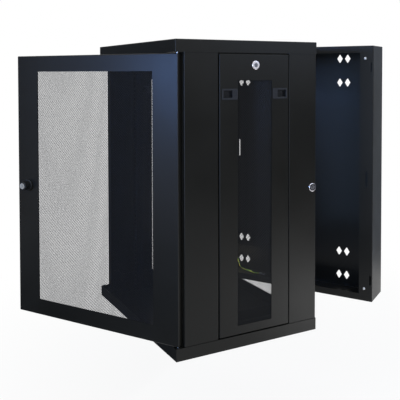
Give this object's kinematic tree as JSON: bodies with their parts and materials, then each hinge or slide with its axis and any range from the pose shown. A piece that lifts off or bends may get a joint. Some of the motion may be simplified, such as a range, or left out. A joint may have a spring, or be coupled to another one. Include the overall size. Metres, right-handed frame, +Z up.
{
  "type": "wall mount network cabinet",
  "caption": "Black swing-out wall cabinet for 19-inch equipment: wall section, hinged centre body with lift-off side panels, perforated locking front door.",
  "frame": {"origin": "middle of the wall section's back face, on the wall", "axes": "+Z up, +Y into the wall, fronts face -Y, +X to the right as seen from the front"},
  "size_m": [0.9295, 0.894, 0.89],
  "materials": {
    "black_powder_coat": "fine-textured satin black powder coat",
    "perforated_sheet": "satin black powder coat on staggered round perforation",
    "rail_black": "smooth black coat",
    "black_plastic": "moulded black plastic",
    "chrome": "polished chrome plate",
    "zinc_steel": "bright zinc plate",
    "earth_insulation": "green wire insulation with a yellow stripe"
  },
  "bodies": {
    "wall_section": {"wall_frame": "black_powder_coat", "lip_screws": "zinc_steel", "earth_stud": "zinc_steel", "earth_stud_lug": "zinc_steel", "earth_wire": "earth_insulation", "earth_free_lug": "zinc_steel", "wall_hinge_fixed_leaves": "black_powder_coat", "wall_hinge_pins": "zinc_steel"},
    "cabinet": {"wall_hinge_swing_leaves": "black_powder_coat", "top_panel": "black_powder_coat", "bottom_panel": "black_powder_coat", "upper_pivot_plate": "black_powder_coat", "lower_pivot_plate": "black_powder_coat", "front_right_post": "black_powder_coat", "front_left_post": "black_powder_coat", "rear_right_post": "black_powder_coat", "rear_left_post": "black_powder_coat", "right_panel_sills": "black_powder_coat", "left_panel_sills": "black_powder_coat", "right_side_panel": "black_powder_coat", "left_side_panel": "black_powder_coat", "right_side_mesh": "perforated_sheet", "left_side_mesh": "perforated_sheet", "right_side_lock": "chrome", "left_side_lock": "chrome", "lock_nuts": "zinc_steel", "right_front_latch_housing": "black_plastic", "right_rear_latch_housing": "black_plastic", "left_front_latch_housing": "black_plastic", "left_rear_latch_housing": "black_plastic", "swing_lock": "chrome", "front_right_rail": "rail_black", "front_left_rail": "rail_black", "rear_right_rail": "rail_black", "rear_left_rail": "rail_black", "right_rail_brackets": "black_powder_coat", "left_rail_brackets": "black_powder_coat", "rail_bolts": "zinc_steel"},
    "door": {"door_frame": "black_powder_coat", "door_mesh": "perforated_sheet", "upper_door_pin": "zinc_steel", "lower_door_pin": "zinc_steel", "door_lock_base": "black_plastic", "door_lock_nut": "zinc_steel"},
    "door_knob": {"door_lock_knob": "black_plastic", "door_lock_insert": "chrome", "door_lock_cam": "zinc_steel"},
    "swing_lock_core": {"swing_lock_plug": "chrome", "swing_lock_cam": "zinc_steel"},
    "right_side_lock_core": {"right_side_lock_plug": "chrome", "right_side_lock_cam": "zinc_steel"},
    "left_side_lock_core": {"left_side_lock_plug": "chrome", "left_side_lock_cam": "zinc_steel"},
    "right_front_latch": {"right_front_latch_slider": "black_plastic"},
    "right_rear_latch": {"right_rear_latch_slider": "black_plastic"},
    "left_front_latch": {"left_front_latch_slider": "black_plastic"},
    "left_rear_latch": {"left_rear_latch_slider": "black_plastic"}
  },
  "joints": [
    {"name": "cabinet_swing", "type": "hinge", "parent": "wall_section", "child": "cabinet", "pos_m": [-0.3075, -0.126, 0], "axis": [0, 0, -1], "range_deg": [-31.5, 63.5]},
    {"name": "door_swing", "type": "hinge", "parent": "cabinet", "child": "door", "pos_m": [-0.04742, -0.8413, 0], "axis": [0, 0, 1], "range_deg": [-33, 147]},
    {"name": "door_knob_turn", "type": "hinge", "parent": "door", "child": "door_knob", "pos_m": [-0.587, -0.86443, 0], "axis": [-0.0262, 0.9997, 0], "range_deg": [0, 90]},
    {"name": "swing_lock_turn", "type": "hinge", "parent": "cabinet", "child": "swing_lock_core", "pos_m": [0.19997, -0.4575, 0], "axis": [0.8526, -0.5225, 0], "range_deg": [0, 90]},
    {"name": "right_side_lock_turn", "type": "hinge", "parent": "cabinet", "child": "right_side_lock_core", "pos_m": [0.09187, -0.63697, 0.374], "axis": [0.8526, -0.5225, 0], "range_deg": [0, 90]},
    {"name": "left_side_lock_turn", "type": "hinge", "parent": "cabinet", "child": "left_side_lock_core", "pos_m": [-0.41971, -0.32347, 0.374], "axis": [-0.8526, 0.5225, 0], "range_deg": [0, 90]},
    {"name": "right_front_latch_slide", "type": "slide", "parent": "cabinet", "child": "right_front_latch", "axis": [0.5225, 0.8526, 0], "range_m": [0, 0.008], "stiffness_N_per_m": 400, "springref_m": -0.004},
    {"name": "right_rear_latch_slide", "type": "slide", "parent": "cabinet", "child": "right_rear_latch", "axis": [-0.5225, -0.8526, 0], "range_m": [0, 0.008], "stiffness_N_per_m": 400, "springref_m": -0.004},
    {"name": "left_front_latch_slide", "type": "slide", "parent": "cabinet", "child": "left_front_latch", "axis": [0.5225, 0.8526, 0], "range_m": [0, 0.008], "stiffness_N_per_m": 400, "springref_m": -0.004},
    {"name": "left_rear_latch_slide", "type": "slide", "parent": "cabinet", "child": "left_rear_latch", "axis": [-0.5225, -0.8526, 0], "range_m": [0, 0.008], "stiffness_N_per_m": 400, "springref_m": -0.004}
  ]
}
